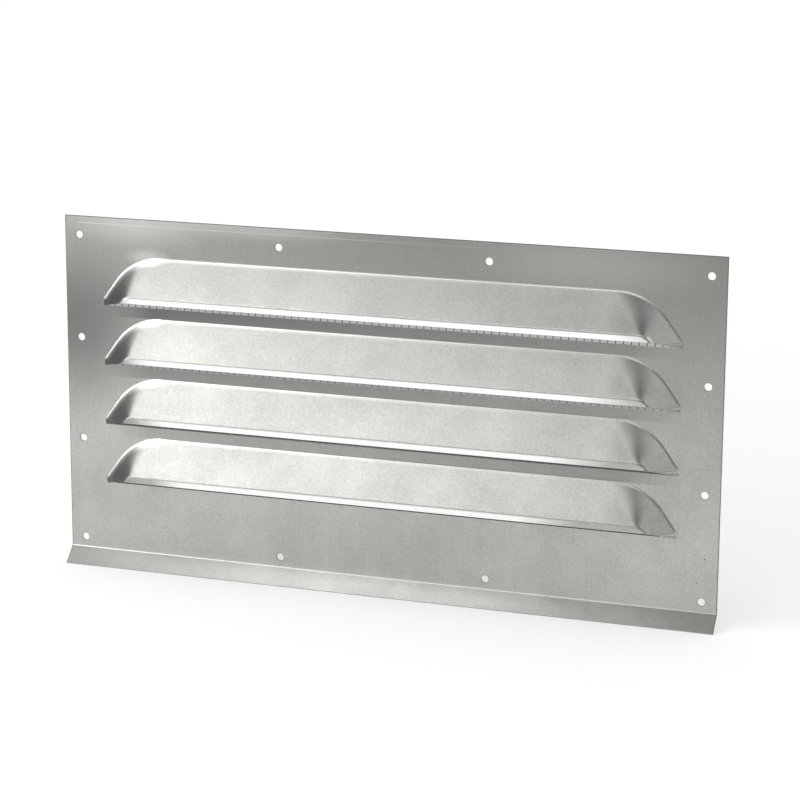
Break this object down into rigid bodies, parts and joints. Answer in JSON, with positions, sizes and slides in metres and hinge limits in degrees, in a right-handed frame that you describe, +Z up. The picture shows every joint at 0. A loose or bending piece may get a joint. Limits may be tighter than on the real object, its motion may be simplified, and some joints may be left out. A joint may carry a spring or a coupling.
{
  "type": "ventilation grille",
  "caption": "Flat rectangular wall vent of galvanised sheet steel with pressed louvres, border screw holes, a folded drip flange and wire mesh behind.",
  "frame": {"origin": "centre of the screw pattern on the back face of the sheet, which lies on the wall", "axes": "+X along the louvres, +Y into the wall, +Z up"},
  "size_m": [0.4, 0.0129, 0.2127],
  "materials": {
    "galvanised_sheet": "satin zinc coat with fine grain",
    "galvanised_wire": "dull zinc coat"
  },
  "bodies": {
    "root": {"louvred_plate": "galvanised_sheet", "insect_mesh": "galvanised_wire"}
  },
  "joints": []
}
